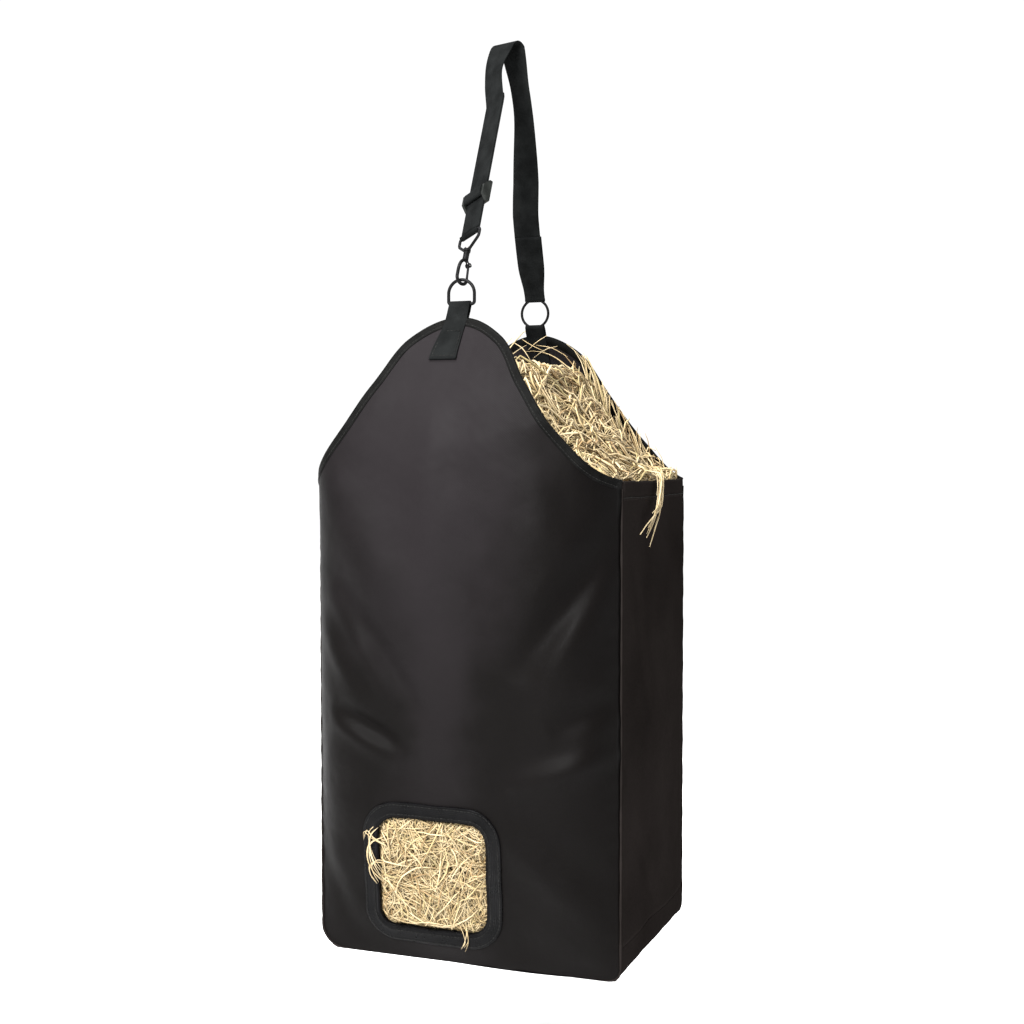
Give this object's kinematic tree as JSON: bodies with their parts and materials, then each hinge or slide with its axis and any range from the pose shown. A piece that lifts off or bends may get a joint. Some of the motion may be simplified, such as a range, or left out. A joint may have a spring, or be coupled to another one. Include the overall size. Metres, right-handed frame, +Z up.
{
  "type": "hanging hay bag",
  "caption": "Box-shaped cloth hay bag, open at the top, with a bound feed window low in front and an adjustable webbing strap with a swivel snap",
  "frame": {"origin": "the hanging point: the underside of the strap's top bend, above the bag's middle", "axes": "+Z up, +X across the front panel, -Y out of the front panel with the feed window"},
  "size_m": [0.3826, 0.3751, 1.1116],
  "materials": {
    "oxford_cloth": "coated plain weave, low sheen",
    "binding_tape": "ribbed tape, matte",
    "webbing": "woven webbing, matte",
    "black_wire": "gloss black",
    "plated_steel": "bright plated",
    "spring_steel": "plain steel",
    "slider_plastic": "satin black",
    "hay": "dry stalks, matte"
  },
  "bodies": {
    "strap": {"strap_webbing": "webbing", "strap_ring_loop": "webbing", "strap_snap_loop": "webbing"},
    "bag": {"front_panel": "oxford_cloth", "back_panel": "oxford_cloth", "left_side_panel": "oxford_cloth", "right_side_panel": "oxford_cloth", "base_panel": "oxford_cloth", "window_binding": "binding_tape", "front_mouth_binding": "binding_tape", "back_mouth_binding": "binding_tape", "left_mouth_hem": "binding_tape", "right_mouth_hem": "binding_tape", "front_seam_binding": "binding_tape", "back_seam_binding": "binding_tape", "front_tab": "webbing", "back_tab": "webbing"},
    "front_ring": {"front_d_ring": "black_wire"},
    "back_ring": {"back_o_ring": "black_wire"},
    "slider": {"slider_frame": "slider_plastic", "slider_webbing_end": "webbing"},
    "snap_loop": {"snap_eye": "black_wire"},
    "hook": {"snap_hook": "black_wire", "snap_swivel_pin": "plated_steel", "gate_pin": "plated_steel", "gate_spring": "spring_steel"},
    "gate": {"snap_gate": "black_wire"}
  },
  "joints": [
    {"name": "bag_sway", "type": "hinge", "parent": "strap", "child": "bag", "pos_m": [0, 0, -0.324], "axis": [0, 1, 0], "range_deg": [-40, 40]},
    {"name": "slider_slide", "type": "slide", "parent": "strap", "child": "slider", "axis": [0, 0.4289, 0.9033], "range_m": [-0.022, 0.115]},
    {"name": "snap_tilt", "type": "hinge", "parent": "strap", "child": "snap_loop", "pos_m": [0, -0.12293, -0.2509], "axis": [-0.8192, 0.5181, -0.246], "range_deg": [-1.5, 1.5]},
    {"name": "hook_swivel", "type": "hinge", "parent": "snap_loop", "child": "hook", "pos_m": [0, -0.1521, -0.31233], "axis": [0, 0.4289, 0.9033], "range_deg": [-15, 45]},
    {"name": "gate_hinge", "type": "hinge", "parent": "hook", "child": "gate", "pos_m": [0.00262, -0.13544, -0.29035], "axis": [-0.9063, 0.3818, -0.1813], "range_deg": [0, 25], "stiffness_Nm_per_rad": 0.02},
    {"name": "d_ring_tilt", "type": "hinge", "parent": "bag", "child": "front_ring", "pos_m": [0, -0.15, -0.336], "axis": [1, 0, 0], "range_deg": [-2.5, 2.5]},
    {"name": "o_ring_spin", "type": "hinge", "parent": "bag", "child": "back_ring", "pos_m": [0, 0.1, -0.324], "axis": [0, 1, 0], "continuous": true}
  ]
}
